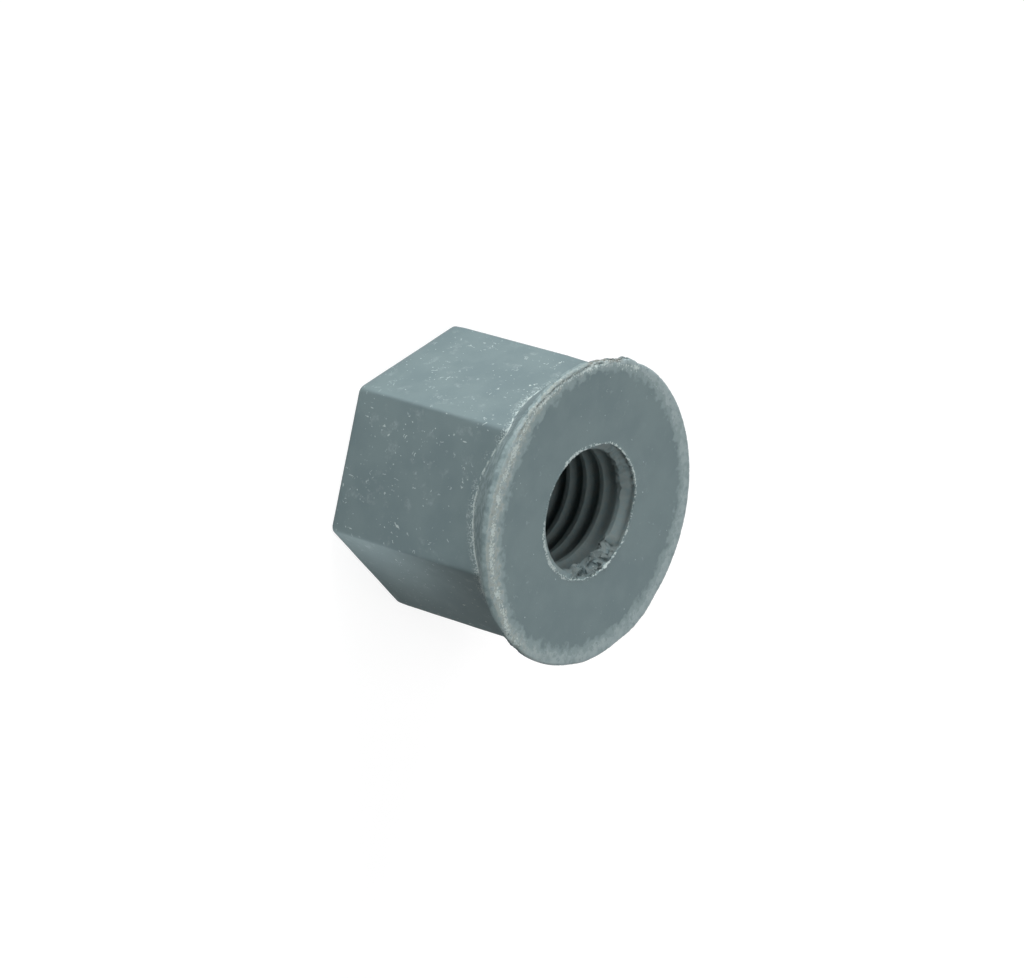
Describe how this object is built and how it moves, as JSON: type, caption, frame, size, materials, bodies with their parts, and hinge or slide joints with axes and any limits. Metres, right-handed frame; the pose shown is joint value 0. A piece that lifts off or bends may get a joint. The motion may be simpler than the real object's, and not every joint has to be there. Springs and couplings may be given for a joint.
{
  "type": "flange nut",
  "caption": "Long hexagon nut with a thin round flange that slopes out from the flats, a flat bearing face and a threaded through hole, moulded in matt grey plastic.",
  "frame": {"origin": "centre of the hexagon end, on the bore axis, where the nut stands", "axes": "+Z along the bore towards the bearing face of the flange; two corners of the hexagon lie on the X axis"},
  "size_m": [0.021, 0.021, 0.0147],
  "materials": {
    "grey_plastic": "matt moulded, scuffed"
  },
  "bodies": {
    "root": {"flange_nut": "grey_plastic"}
  },
  "joints": []
}
